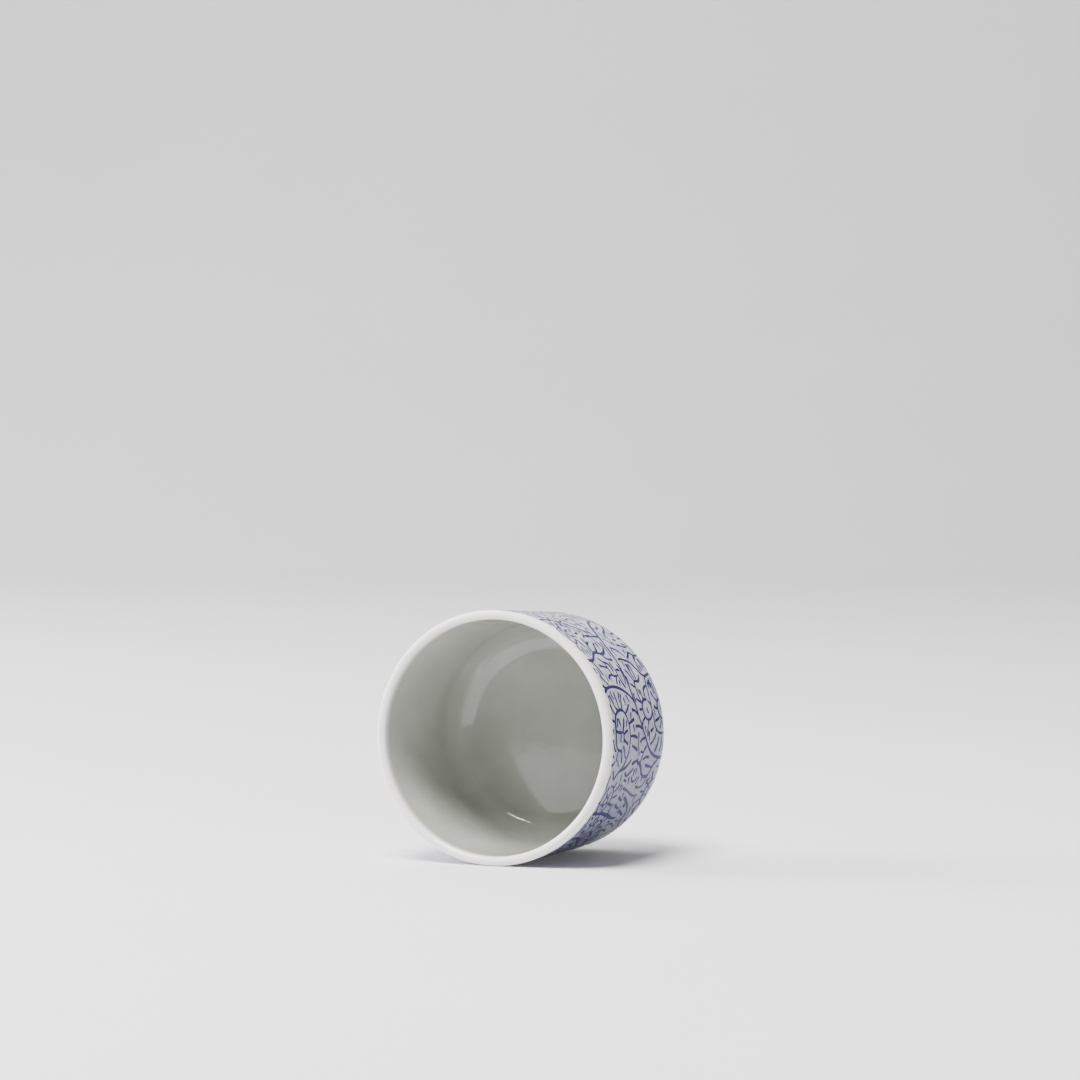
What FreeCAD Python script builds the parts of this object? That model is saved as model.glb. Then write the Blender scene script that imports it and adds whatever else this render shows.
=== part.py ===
import FreeCAD, Part

import math
import os

# A porcelain teacup with no handle, standing upright on its foot ring.
# The origin is the centre of the foot ring's standing face and +Z points to the mouth.
# Every layer of the fired cup is its own solid, turned about Z. Sizes are in millimetres.

# Overall shape of the glazed cup.
RIM_RADIUS = 40.0
HEIGHT = 61.0
LIP_THICKNESS = 2.9

# Outside wall: nearly straight, narrowing towards the foot, then one round belly.
OUTER_TAPER_DEG = 2.0
BELLY_START_Z = 16.0
BELLY_RADIUS = 21.0

# Inside wall: leans in a little more, so the wall thickens downwards, then a cove to the floor.
INNER_TAPER_DEG = 2.8
COVE_RADIUS = 9.0
COVE_CUT = 0.25
FLOOR_THICKNESS = 5.5

# Foot ring, luted under the belly, with a recess inside it.
FOOT_HEIGHT = 3.5
FOOT_WIDTH = 3.5
FOOT_STEP = 3.3
RECESS_DEPTH = 6.0
FOOT_EDGE_ROUND = 0.8

# Coats. The cobalt painting lies on the body, under the clear glaze.
GLAZE_THICKNESS = 0.25
PAINT_THICKNESS = 0.05
BARE_FOOT_HEIGHT = 1.2

# Painted band: it leaves the lip and the foot's edge plain.
PLAIN_LIP = 3.0
PLAIN_HEEL = 1.8

FULL_TURN = 360.0


def point(r, z):
    """A point of the half section, at radius r and height z."""
    return FreeCAD.Vector(r, 0.0, z)


def line(start, end):
    return Part.LineSegment(start, end).toShape()


def arc_about(centre, radius, start_deg, end_deg):
    """An arc of the half section; angles are measured from +r towards +z."""
    angles = [math.radians(start_deg + share * (end_deg - start_deg)) for share in (0.0, 0.5, 1.0)]
    ends = [centre + point(radius * math.cos(a), radius * math.sin(a)) for a in angles]
    return Part.Arc(*ends).toShape()


def on_circle(centre, radius, angle_deg):
    angle = math.radians(angle_deg)
    return centre + point(radius * math.cos(angle), radius * math.sin(angle))


def down_wall(start, taper_deg, end_z):
    """The point that a wall leaning inwards by taper_deg reaches at height end_z."""
    drop = start.z - end_z
    return point(start.x - drop * math.tan(math.radians(taper_deg)), end_z)


def lip_centre():
    half = LIP_THICKNESS / 2.0
    return point(RIM_RADIUS - half, HEIGHT - half)


def belly_centre():
    """Centre of the belly's arc, which runs on from the outside wall without a corner."""
    top = on_circle(lip_centre(), LIP_THICKNESS / 2.0, -OUTER_TAPER_DEG)
    foot_of_wall = down_wall(top, OUTER_TAPER_DEG, BELLY_START_Z)
    return on_circle(foot_of_wall, BELLY_RADIUS, 180.0 - OUTER_TAPER_DEG)


def floor_z():
    return RECESS_DEPTH + FLOOR_THICKNESS


def cove_centre():
    """Centre of the cove inside; the floor cuts the arc just above its lowest point."""
    centre_z = floor_z() + COVE_RADIUS - COVE_CUT
    top = on_circle(lip_centre(), LIP_THICKNESS / 2.0, 180.0 - INNER_TAPER_DEG)
    touch_z = centre_z - COVE_RADIUS * math.sin(math.radians(INNER_TAPER_DEG))
    touch = down_wall(top, INNER_TAPER_DEG, touch_z)
    return on_circle(touch, COVE_RADIUS, 180.0 - INNER_TAPER_DEG)


def heel_radius():
    """Where the belly meets the flat underside."""
    centre = belly_centre()
    return centre.x + math.sqrt(BELLY_RADIUS ** 2 - (centre.z - FOOT_HEIGHT) ** 2)


def foot_outer_radius():
    return heel_radius() - FOOT_STEP


def foot_inner_radius():
    return foot_outer_radius() - FOOT_WIDTH


def cup_section(inset):
    """Half section of the whole cup with its surface moved into the body by inset."""
    lip, belly, cove = lip_centre(), belly_centre(), cove_centre()
    lip_r = LIP_THICKNESS / 2.0 - inset
    belly_r = BELLY_RADIUS - inset
    cove_r = COVE_RADIUS + inset
    under_z = FOOT_HEIGHT + inset
    recess_z = RECESS_DEPTH + inset
    inside_z = floor_z() - inset
    belly_end = -math.degrees(math.asin((belly.z - under_z) / belly_r))
    cove_end = -math.degrees(math.asin((cove.z - inside_z) / cove_r))
    ring_in = foot_inner_radius() + inset
    ring_out = foot_outer_radius() - inset

    corners = [point(0.0, inside_z), point(0.0, recess_z), point(ring_in, recess_z), point(ring_in, 0.0),
               point(ring_out, 0.0), point(ring_out, under_z), on_circle(belly, belly_r, belly_end)]
    edges = [line(a, b) for a, b in zip(corners, corners[1:])]
    edges.append(arc_about(belly, belly_r, belly_end, -OUTER_TAPER_DEG))
    edges.append(line(on_circle(belly, belly_r, -OUTER_TAPER_DEG), on_circle(lip, lip_r, -OUTER_TAPER_DEG)))
    edges.append(arc_about(lip, lip_r, -OUTER_TAPER_DEG, 180.0 - INNER_TAPER_DEG))
    wall_top = on_circle(lip, lip_r, 180.0 - INNER_TAPER_DEG)
    edges.append(line(wall_top, on_circle(cove, cove_r, -INNER_TAPER_DEG)))
    edges.append(arc_about(cove, cove_r, -INNER_TAPER_DEG, cove_end))
    edges.append(line(on_circle(cove, cove_r, cove_end), corners[0]))
    return Part.Face(Part.Wire(edges))


def region(*corners):
    """A flat region of the half section with straight sides."""
    loop = [point(r, z) for r, z in corners]
    return Part.Face(Part.makePolygon(loop + loop[:1]))


def strip(low, high):
    """Everything in the half section between two heights."""
    return region((0.0, low), (beyond(), low), (beyond(), high), (0.0, high))


def below(z):
    """Everything in the half section that is lower than z."""
    return strip(-beyond(), z)


def beyond():
    """A distance that is outside the cup in every direction."""
    return RIM_RADIUS + HEIGHT


def turned(face):
    """The solid that a half section sweeps in one full turn about Z."""
    return face.revolve(FreeCAD.Vector(0, 0, 0), FreeCAD.Vector(0, 0, 1), FULL_TURN)


def mid_wall_line():
    """Points in the body's thickness, from under the floor up the wall and out over the lip."""
    lip, cove, belly = lip_centre(), cove_centre(), belly_centre()
    mid_wall = (cove.x + COVE_RADIUS + belly.x + BELLY_RADIUS) / 2.0
    mid_ring = foot_outer_radius() - FOOT_WIDTH / 2.0
    mid_floor_z = floor_z() - FLOOR_THICKNESS / 2.0
    under_cove = (cove.x + COVE_RADIUS, floor_z())
    return [(mid_ring, mid_floor_z), under_cove, (mid_wall, cove.z), (lip.x, lip.z), (lip.x, beyond())]


def inside_region():
    """Everything over the floor and inside the middle of the wall."""
    line_up = mid_wall_line()
    return region((0.0, line_up[0][1]), *line_up, (0.0, beyond()))


def recess_region():
    """Everything under the floor and inside the middle of the foot ring."""
    mid_ring, mid_floor_z = mid_wall_line()[0]
    return region((0.0, -beyond()), (mid_ring, -beyond()), (mid_ring, mid_floor_z), (0.0, mid_floor_z))


def outside_region():
    """Everything outside the middle of the wall and of the foot ring."""
    line_up = mid_wall_line()
    return region((line_up[0][0], -beyond()), *line_up, (beyond(), beyond()), (beyond(), -beyond()))


def luting_plane():
    """Height of the joint where the foot ring meets the body."""
    return FOOT_HEIGHT + GLAZE_THICKNESS


def porcelain_body():
    """The thrown wall, lip and floor, without coats and without the foot ring."""
    return cup_section(GLAZE_THICKNESS).cut(below(luting_plane()))


def foot_ring():
    """The ring luted under the body; its standing face is bare and its edges are softened."""
    ring = turned(cup_section(GLAZE_THICKNESS).common(below(luting_plane())))
    standing_edges = [edge for edge in ring.Edges if edge.BoundBox.ZMax < BARE_FOOT_HEIGHT / 2.0
                      and edge.Curve.TypeId == "Part::GeomCircle"]
    return ring.makeFillet(FOOT_EDGE_ROUND, standing_edges)


def coats():
    """Everything between the glazed surface and the body, down to the bare foot."""
    return cup_section(0.0).cut(cup_section(GLAZE_THICKNESS)).cut(below(BARE_FOOT_HEIGHT))


def painted_band():
    """The thin layer of cobalt colour on the outside of the body, under the outer glaze."""
    layer = cup_section(GLAZE_THICKNESS - PAINT_THICKNESS).cut(cup_section(GLAZE_THICKNESS))
    return layer.common(outside_region()).common(strip(FOOT_HEIGHT + PLAIN_HEEL, HEIGHT - PLAIN_LIP))


def inner_glaze():
    """The coat inside the cup, from the crest of the lip down over the floor."""
    return coats().common(inside_region())


def outer_glaze():
    """The coat outside, from the crest of the lip to the foot ring, over the painting."""
    return coats().common(outside_region()).cut(painted_band())


def base_glaze():
    """The coat in the recess and on the inner side of the foot ring."""
    return coats().common(recess_region())


def solid_of(shape):
    """The single solid in a shape, with seams cleaned."""
    solids = shape.removeSplitter().Solids
    assert len(solids) == 1, "a sub-part came out as %d solids" % len(solids)
    return solids[0]


def build():
    """Every sub-part by name."""
    sections = [porcelain_body, painted_band, inner_glaze, outer_glaze, base_glaze]
    parts = {section.__name__: solid_of(turned(section())) for section in sections}
    parts["foot_ring"] = solid_of(foot_ring())
    return parts


def main():
    os.makedirs("parts", exist_ok=True)
    for name, solid in build().items():
        solid.exportStep(os.path.join("parts", name + ".step"))
        box = solid.BoundBox
        print("%-15s volume %8.1f mm3, radius %.2f, z %.2f to %.2f, valid %s"
              % (name, solid.Volume, box.XMax, box.ZMin, box.ZMax, solid.isValid()))


main()
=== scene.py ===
# %% [markdown]
# # A painted porcelain teacup, lying on its side
# The cup is one fired pot: a porcelain body, a foot ring, three coats of clear glaze and a
# painting in cobalt blue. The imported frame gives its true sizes, upright, with +Z to the mouth.
# The frame never moves, so a cup that lies down is made by tilting the table and the camera.

# %% Load the frame
import math
import random

import bmesh
import bpy
from mathutils import Matrix, Vector, noise


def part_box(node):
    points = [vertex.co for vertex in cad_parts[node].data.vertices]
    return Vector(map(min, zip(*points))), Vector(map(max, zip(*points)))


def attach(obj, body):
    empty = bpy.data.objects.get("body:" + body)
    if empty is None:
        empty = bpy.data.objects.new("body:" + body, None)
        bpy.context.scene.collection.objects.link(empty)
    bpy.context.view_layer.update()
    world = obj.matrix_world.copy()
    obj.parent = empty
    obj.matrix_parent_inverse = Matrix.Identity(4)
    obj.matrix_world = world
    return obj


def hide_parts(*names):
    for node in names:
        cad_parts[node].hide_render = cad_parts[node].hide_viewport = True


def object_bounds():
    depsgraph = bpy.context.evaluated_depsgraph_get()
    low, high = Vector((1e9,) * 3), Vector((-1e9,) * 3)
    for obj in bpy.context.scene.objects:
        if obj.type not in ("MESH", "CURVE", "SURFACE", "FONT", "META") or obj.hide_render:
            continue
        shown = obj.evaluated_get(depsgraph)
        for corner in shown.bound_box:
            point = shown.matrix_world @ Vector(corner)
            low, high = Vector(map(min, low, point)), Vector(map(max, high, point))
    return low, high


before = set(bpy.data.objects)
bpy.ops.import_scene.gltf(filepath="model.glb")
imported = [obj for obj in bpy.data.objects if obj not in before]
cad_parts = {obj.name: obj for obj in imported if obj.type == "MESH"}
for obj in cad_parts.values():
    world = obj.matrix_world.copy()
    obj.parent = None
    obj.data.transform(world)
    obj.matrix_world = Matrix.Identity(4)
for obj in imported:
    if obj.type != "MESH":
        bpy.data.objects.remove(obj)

cad_low, cad_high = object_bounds()
MM = 0.001
print("frame", sorted(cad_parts), "height", round(cad_high.z / MM, 1), "mm")

# %% [markdown]
# ## Where the table is
# A cup on its side touches the table along its wall. The wall narrows by two degrees towards
# the foot, so in the cup's own frame the table is a plane that leans by two degrees. A few
# directions place everything else: up from the table, along the cup towards its mouth, and
# right and near as the camera sees them.

# %% Directions of the table and of the studio
WALL_TAPER = math.radians(2.0)
LIP_ROUND = 1.45 * MM
LIP_CENTRE = Vector((cad_high.x - LIP_ROUND, 0.0, cad_high.z - LIP_ROUND))
LOOK_TURN = math.radians(23.37)
LOOK_DOWN = math.radians(2.9)

table_up = Vector((math.cos(WALL_TAPER), 0.0, math.sin(WALL_TAPER)))
to_mouth = Vector((-math.sin(WALL_TAPER), 0.0, math.cos(WALL_TAPER)))
cup_side = table_up.cross(to_mouth)
near = math.cos(LOOK_TURN) * to_mouth + math.sin(LOOK_TURN) * cup_side
right = table_up.cross(near)
table_drop = LIP_CENTRE.x * table_up.x - LIP_CENTRE.z * table_up.z + LIP_ROUND
print("the table is", round(table_drop / MM, 2), "mm from the cup's axis at the foot")


def studio(to_right, up, to_near):
    """A point of the studio in metres, measured from the table right under the cup's mouth."""
    mouth = Vector((0.0, 0.0, LIP_CENTRE.z))
    on_table = mouth - table_up * (mouth.dot(table_up) + table_drop)
    return on_table + right * to_right + table_up * up + near * to_near


# %% [markdown]
# ## The camera
# A long lens far away keeps the mouth nearly a true circle. The camera stands a little above the
# table, looks down by about three degrees, and aims over the cup, which sits low in the view.
# MOUTH_IN_VIEW is where the middle of the mouth is, as the camera sees it: right, up and back.

# %% Camera
LENS = 166.7
MOUTH_IN_VIEW = Vector((-14.5, -61.9, -1563.4)) * MM


def facing(back, up):
    """A turn whose +Z is the back direction and whose +Y is as near to up as it can be."""
    side = up.cross(back).normalized()
    return Matrix((side, back.cross(side), back)).transposed()


camera_back = math.cos(LOOK_DOWN) * near + math.sin(LOOK_DOWN) * table_up
camera_turn = facing(camera_back, table_up)
camera_data = bpy.data.cameras.new("studio_camera")
camera_data.lens = LENS
camera_data.clip_start = 0.02
camera = bpy.data.objects.new("studio_camera", camera_data)
bpy.context.scene.collection.objects.link(camera)
camera_place = Vector((0.0, 0.0, LIP_CENTRE.z)) - camera_turn @ MOUTH_IN_VIEW
camera.matrix_world = Matrix.Translation(camera_place) @ camera_turn.to_4x4()
bpy.context.scene.camera = camera
print("camera", [round(c, 3) for c in camera_place])

# %% [markdown]
# ## Materials: colours and nodes
# Every finish is built from procedural nodes on Object coordinates, so it has no seams and its
# grain is a real size. Colours are written as sRGB hex values, and one
# function turns them to the linear values that the shader needs. A second small function adds
# a node, with its settings and its links, so that each material reads as a short list.

# %% Colour and node helpers
def colour(hex_value):
    """An sRGB hex colour as a linear colour with alpha."""
    parts = [int(hex_value[i:i + 2], 16) / 255.0 for i in (1, 3, 5)]
    linear = [p / 12.92 if p <= 0.04045 else ((p + 0.055) / 1.055) ** 2.4 for p in parts]
    return (*linear, 1.0)


def add(material, kind, settings=None, **inputs):
    """Adds one node. An input is a value or another node's output; spaces are written as _."""
    node = material.node_tree.nodes.new(kind)
    for name, value in (settings or {}).items():
        setattr(node, name, value)
    for name, value in inputs.items():
        wanted = name.replace("_", " ").lower()
        socket = next(s for s in node.inputs if s.name.lower() == wanted and s.enabled)
        if isinstance(value, bpy.types.NodeSocket):
            material.node_tree.links.new(value, socket)
        else:
            socket.default_value = value
    return node


def blend_colours(material, factor, low, high):
    """Mixes two colours, or colour outputs, by a factor output."""
    mix = add(material, "ShaderNodeMix", {"data_type": "RGBA"})
    for socket, value in ((mix.inputs[0], factor), (mix.inputs[6], low), (mix.inputs[7], high)):
        if isinstance(value, bpy.types.NodeSocket):
            material.node_tree.links.new(value, socket)
        else:
            socket.default_value = value
    return mix.outputs[2]


def new_material(name):
    """An empty node material and its Object coordinates."""
    material = bpy.data.materials.new(name)
    material.use_nodes = True
    material.node_tree.nodes.clear()
    where = add(material, "ShaderNodeTexCoord").outputs["Object"]
    return material, where


def grain(material, where, size_mm, detail=3.0, rough=0.5):
    """Noise whose patches are about size_mm across, from 0 to 1."""
    return add(material, "ShaderNodeTexNoise", Vector=where, Scale=1.0 / (size_mm * MM),
               Detail=detail, Roughness=rough).outputs["Fac"]


def between(material, value, low, high):
    """Stretches a value so that low becomes 0 and high becomes 1."""
    return add(material, "ShaderNodeMapRange", Value=value, From_Min=low, From_Max=high).outputs[0]


def finish_material(material, shader):
    """Joins the last shader to the material's output."""
    add(material, "ShaderNodeOutputMaterial", Surface=shader.outputs[0])
    print("material", material.name, len(material.node_tree.nodes), "nodes")
    return material


# %% [markdown]
# ## Clear glaze over white porcelain
# Porcelain is fired with a clear, glassy coat. Its gloss is smooth but not flat: the coat melts
# into slow waves a few millimetres long and holds a few pinholes. Each coat's colour darkens with
# depth below the lip. Inside the cup that darkening is painted shade of the hollow, over a faint
# grey-green that thick glaze takes from iron; outside and under the base it is darker towards the
# foot. Dip glazes pool, so colour varies over about a centimetre.
#
# The painted outside has a much lower IOR than real glaze. At a grazing angle real glaze is a
# mirror for the pale table, and that mirror would wash out the brush strokes.

# %% Glaze materials
GLAZE_IOR = 1.5
PAINTED_IOR = 1.06
GLOSS = 0.04
WAVE_LENGTH = 6.0
COAT_PATCH = 14.0
COAT_UNEVEN = (-3.0, 0.6)
BAND_EDGE = (2.6, 4.2)
WASH_PATCH = 2.4
WASH_UNEVEN = (0.0, 0.7)
# Painted shade: the painted wall darkens on its lower side, towards the table; a direction, then where
# the shade starts and where it is full, in mm.
SHADED_SIDE = (-0.80, -0.60, 0.0)
SHADE_FROM, SHADE_FULL = 15.0, 40.0
SPECK_SPACING = 5.0
SPECK_EDGE = (0.035, 0.02)
PINHOLE = 0.5
PINHOLE_EDGE = (0.30, 0.42)


def times(material, first, second):
    """The product of two value outputs."""
    product = add(material, "ShaderNodeMath", {"operation": "MULTIPLY"})
    for socket, output in zip(product.inputs, (first, second)):
        material.node_tree.links.new(output, socket)
    return product.outputs[0]


def glazed_porcelain(name, near_lip_colour, deep_colour_and_shade, near_lip_mm, deep_mm, ior=GLAZE_IOR, wash=None,
                     shaded_wash=None):
    """Glossy glaze, a light colour at one depth below the lip and a darker one at the other; inside
    the cup the darker one is painted shade as well as thick glaze.

    wash tints the painted height, partly a pale cobalt ground and partly painted shade; the last
    argument is painted shade, a darker wash on the lower side that faces the table and the camera.
    """
    material, where = new_material(name)
    height = add(material, "ShaderNodeSeparateXYZ", Vector=where).outputs["Z"]
    depth = between(material, height, cad_high.z - near_lip_mm * MM, cad_high.z - deep_mm * MM)
    uneven_coat = between(material, grain(material, where, COAT_PATCH), *COAT_UNEVEN)
    base = blend_colours(material, times(material, depth, uneven_coat), colour(near_lip_colour), colour(deep_colour_and_shade))
    # The wash is partly a pale cobalt ground and partly painted shade over the whole painted wall.
    if wash is not None:
        painted = between(material, height, *(cad_high.z - down * MM for down in BAND_EDGE))
        uneven = between(material, grain(material, where, WASH_PATCH), *WASH_UNEVEN)
        base = blend_colours(material, times(material, painted, uneven), base, colour(wash))
        # Painted shade: darker still on the lower side, towards the table and the camera.
        sideways = add(material, "ShaderNodeVectorMath", {"operation": "DOT_PRODUCT"}, Vector=where)
        sideways.inputs[1].default_value = SHADED_SIDE
        shade_share = between(material, sideways.outputs["Value"], SHADE_FROM * MM, SHADE_FULL * MM)
        base = blend_colours(material, times(material, painted, shade_share), base, colour(shaded_wash))
    spots = add(material, "ShaderNodeTexVoronoi", Vector=where, Scale=1.0 / (SPECK_SPACING * MM))
    specks = between(material, spots.outputs["Distance"], *SPECK_EDGE)
    base = blend_colours(material, specks, base, colour("#8E8B80"))
    waves = grain(material, where, WAVE_LENGTH, detail=1.0)
    pinholes = between(material, grain(material, where, PINHOLE, detail=2.0), *PINHOLE_EDGE)
    soft = add(material, "ShaderNodeBump", Strength=0.06, Distance=0.2 * MM, Height=waves)
    bump = add(material, "ShaderNodeBump", Strength=0.06, Distance=0.05 * MM, Height=pinholes,
               Normal=soft.outputs[0])
    shader = add(material, "ShaderNodeBsdfPrincipled", Base_Color=base, Roughness=GLOSS,
                 IOR=ior, Normal=bump.outputs[0])
    return finish_material(material, shader)


# Inside, the colour darkens with depth: painted shade of the hollow over the faint grey-green of thick
# glaze.
inside_glaze = glazed_porcelain("clear_glaze_inside", "#EEECEA", "#A0A49C", 0.3, 3.5)
# Outside, the glaze darkens towards the foot; the wash is partly painted shade, and its darker lower
# side is painted shade.
outside_glaze = glazed_porcelain("clear_glaze_outside", "#ECEAE7", "#DCDCD8", 2.0, 58.0,
                                 ior=PAINTED_IOR, wash="#9499B4", shaded_wash="#757A8D")
base_glaze = glazed_porcelain("clear_glaze_under_base", "#E2E2DC", "#C8CBC0", 54.0, 58.0)


# %% [markdown]
# ## Bare porcelain
# Glaze would stick the cup to the kiln shelf, so the standing face is wiped clean. The bare
# clay fires to a matt, warm white with a fine grit and a little grey from the shelf.

# %% Bare porcelain
def bare_porcelain():
    """Matt fired clay with grit and a little shelf dust."""
    material, where = new_material("bare_fired_porcelain")
    tone = between(material, grain(material, where, 3.0), 0.3, 0.7)
    base = blend_colours(material, tone, colour("#DDD5C6"), colour("#C4B8A4"))
    grit = grain(material, where, 0.35, detail=4.0, rough=0.7)
    dust = between(material, grit, 0.60, 0.72)
    base = blend_colours(material, dust, base, colour("#8F8474"))
    bump = add(material, "ShaderNodeBump", Strength=0.5, Distance=0.08 * MM, Height=grit)
    shader = add(material, "ShaderNodeBsdfPrincipled", Base_Color=base, Roughness=0.72,
                 IOR=GLAZE_IOR, Normal=bump.outputs[0])
    return finish_material(material, shader)


bare_clay = bare_porcelain()


# %% [markdown]
# ## Cobalt under the glaze
# The painter loads a brush with cobalt oxide in water. A stroke is pale where the brush was
# thin and almost black-blue where the wet colour pooled, mostly at its ends. Each stroke
# carries its own wash value in an attribute, and fine noise breaks the colour up as the clay
# soaks it in. The same glassy coat covers it, so it shines almost like the glaze around it.

# %% Cobalt material
WASH = "wash"
SOAK_PATCH = 0.9
SOAK_SHARE = 0.7


def cobalt_painting():
    """Blue that darkens with a stroke's own wash value and with the way the clay soaks it in."""
    material, where = new_material("cobalt_under_glaze")
    wash = add(material, "ShaderNodeAttribute", {"attribute_name": WASH}).outputs["Fac"]
    soaked = grain(material, where, SOAK_PATCH)
    patchy = add(material, "ShaderNodeMath", {"operation": "MULTIPLY_ADD"})
    material.node_tree.links.new(soaked, patchy.inputs[0])
    patchy.inputs[1].default_value = SOAK_SHARE
    material.node_tree.links.new(wash, patchy.inputs[2])
    depth = between(material, patchy.outputs[0], 0.25, 1.25)
    base = blend_colours(material, depth, colour("#40426E"), colour("#1A1A36"))
    waves = grain(material, where, WAVE_LENGTH, detail=1.0)
    bump = add(material, "ShaderNodeBump", Strength=0.10, Distance=0.25 * MM, Height=waves)
    shader = add(material, "ShaderNodeBsdfPrincipled", Base_Color=base, Roughness=2 * GLOSS,
                 IOR=PAINTED_IOR, Normal=bump.outputs[0])
    return finish_material(material, shader)


cobalt = cobalt_painting()

# %% [markdown]
# ## The shape of the fired cup
# A potter turns the cup, so each coat is an outline spun round once. The outline is made of
# straight runs and arcs: round lip, wall, belly, heel and foot ring outside; wall, cove and
# floor inside. A coat is the surface outline out and the same outline, one coat deeper, back.

# %% Outlines
COAT = 0.25 * MM
BELLY_START = 16.0 * MM
BELLY_ROUND = 21.0 * MM
INNER_TAPER = math.radians(2.8)
COVE_ROUND = 9.0 * MM
COVE_CUT = 0.25 * MM
FLOOR_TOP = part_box("inner_glaze")[0].z + COAT
RECESS_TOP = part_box("base_glaze")[1].z - COAT
FOOT_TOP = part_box("foot_ring")[1].z - COAT
FOOT_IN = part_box("base_glaze")[1].x - COAT
FOOT_WIDTH = 3.5 * MM
FOOT_OUT = FOOT_IN + FOOT_WIDTH
GLAZE_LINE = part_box("outer_glaze")[0].z


def swing(centre, radius, start, end, count):
    """Points along an arc in the (radius, height) plane; 0 is outwards and a quarter turn is up."""
    steps = [start + (end - start) * i / (count - 1) for i in range(count)]
    return [(centre[0] + radius * math.cos(a), centre[1] + radius * math.sin(a)) for a in steps]


def run(start, end, count):
    """Points along a straight run."""
    shares = [i / (count - 1) for i in range(count)]
    return [(start[0] + (end[0] - start[0]) * s, start[1] + (end[1] - start[1]) * s) for s in shares]


def belly_centre():
    """Centre of the belly's arc, which runs on from the wall without a corner."""
    drop = LIP_CENTRE.z - LIP_ROUND * math.sin(WALL_TAPER) - BELLY_START
    wall = LIP_CENTRE.x + LIP_ROUND * math.cos(WALL_TAPER) - drop * math.tan(WALL_TAPER)
    return (wall - BELLY_ROUND * math.cos(WALL_TAPER),
            BELLY_START + BELLY_ROUND * math.sin(WALL_TAPER))


def cove_centre():
    """Centre of the cove's arc; the floor cuts the arc just above its lowest point."""
    centre_z = FLOOR_TOP + COVE_ROUND - COVE_CUT
    touch_z = centre_z - COVE_ROUND * math.sin(INNER_TAPER)
    drop = LIP_CENTRE.z + LIP_ROUND * math.sin(INNER_TAPER) - touch_z
    wall = LIP_CENTRE.x - LIP_ROUND * math.cos(INNER_TAPER) - drop * math.tan(INNER_TAPER)
    return (wall - COVE_ROUND * math.cos(INNER_TAPER), centre_z)


def inside_outline(depth, detail=1.0):
    """From the middle of the floor, up the cove and the wall, to the crest of the lip."""
    lip, cove = (LIP_CENTRE.x, LIP_CENTRE.z), cove_centre()
    cove_r, lip_r, floor = COVE_ROUND + depth, LIP_ROUND - depth, FLOOR_TOP - depth
    low = -math.asin((cove[1] - floor) / cove_r)
    bend = swing(cove, cove_r, low, -INNER_TAPER, int(22 * detail))
    crest = swing(lip, lip_r, math.pi - INNER_TAPER, math.pi / 2, int(24 * detail))
    return (run((0.0, floor), bend[0], int(14 * detail))[:-1] + bend
            + run(bend[-1], crest[0], int(26 * detail))[1:-1] + crest)


def outside_outline(depth, detail=1.0):
    """From the crest of the lip, down the wall, belly and heel, to the glaze's end on the foot."""
    lip, belly = (LIP_CENTRE.x, LIP_CENTRE.z), belly_centre()
    belly_r, lip_r, under = BELLY_ROUND - depth, LIP_ROUND - depth, FOOT_TOP + depth
    low = -math.asin((belly[1] - under) / belly_r)
    crest = swing(lip, lip_r, math.pi / 2, -WALL_TAPER, int(24 * detail))
    bend = swing(belly, belly_r, -WALL_TAPER, low, int(26 * detail))
    foot = FOOT_OUT - depth
    return (crest + run(crest[-1], bend[0], int(30 * detail))[1:-1] + bend
            + [((bend[-1][0] + foot) / 2, under), (foot, under), (foot, GLAZE_LINE)])


def recess_outline(depth, detail=1.0):
    """From the end of the glaze inside the foot ring, up and in to the middle of the recess."""
    foot, top = FOOT_IN + depth, RECESS_TOP + depth
    return [(foot, GLAZE_LINE), (foot, FOOT_TOP)] + run((foot, top), (0.0, top), int(14 * detail))


print("outline points", [len(outline(0.0)) for outline in (inside_outline, outside_outline,
                                                           recess_outline)])

# %% [markdown]
# ## Spinning the coats
# bmesh's spin turns a wire of edges into a skin, as a wheel turns clay. The full spin merges
# its last ring with its first. The hand that held the tool leaves the wall a few hundredths of
# a millimetre out of round, so every coat, and later the painting, is pushed by the same slow
# noise.

# %% Spin helper
TURN_STEPS = 256
WOBBLE = 0.05 * MM
WOBBLE_LENGTH = 16.0 * MM


def out_of_round(place):
    """The small push outwards, in metres, that throwing leaves at a place on the wall."""
    return WOBBLE * noise.noise(Vector(place) / WOBBLE_LENGTH)


def push_by_wobble(bm):
    """Pushes every vertex that is off the axis by the wall's own unevenness."""
    for vert in bm.verts:
        flat = Vector((vert.co.x, vert.co.y, 0.0))
        if flat.length > MM:
            vert.co += flat.normalized() * out_of_round(vert.co)


def object_from(bm, name, material, smooth_angle=40.0):
    """Turns a bmesh into a finished object, shaded smooth except over its sharp edges."""
    mesh = bpy.data.meshes.new(name)
    bm.to_mesh(mesh)
    bm.free()
    mesh.materials.append(material)
    mesh.polygons.foreach_set("use_smooth", [True] * len(mesh.polygons))
    mesh.set_sharp_from_angle(angle=math.radians(smooth_angle))
    piece = bpy.data.objects.new(name, mesh)
    bpy.context.scene.collection.objects.link(piece)
    print("made", name, len(mesh.polygons), "faces")
    return piece


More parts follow.
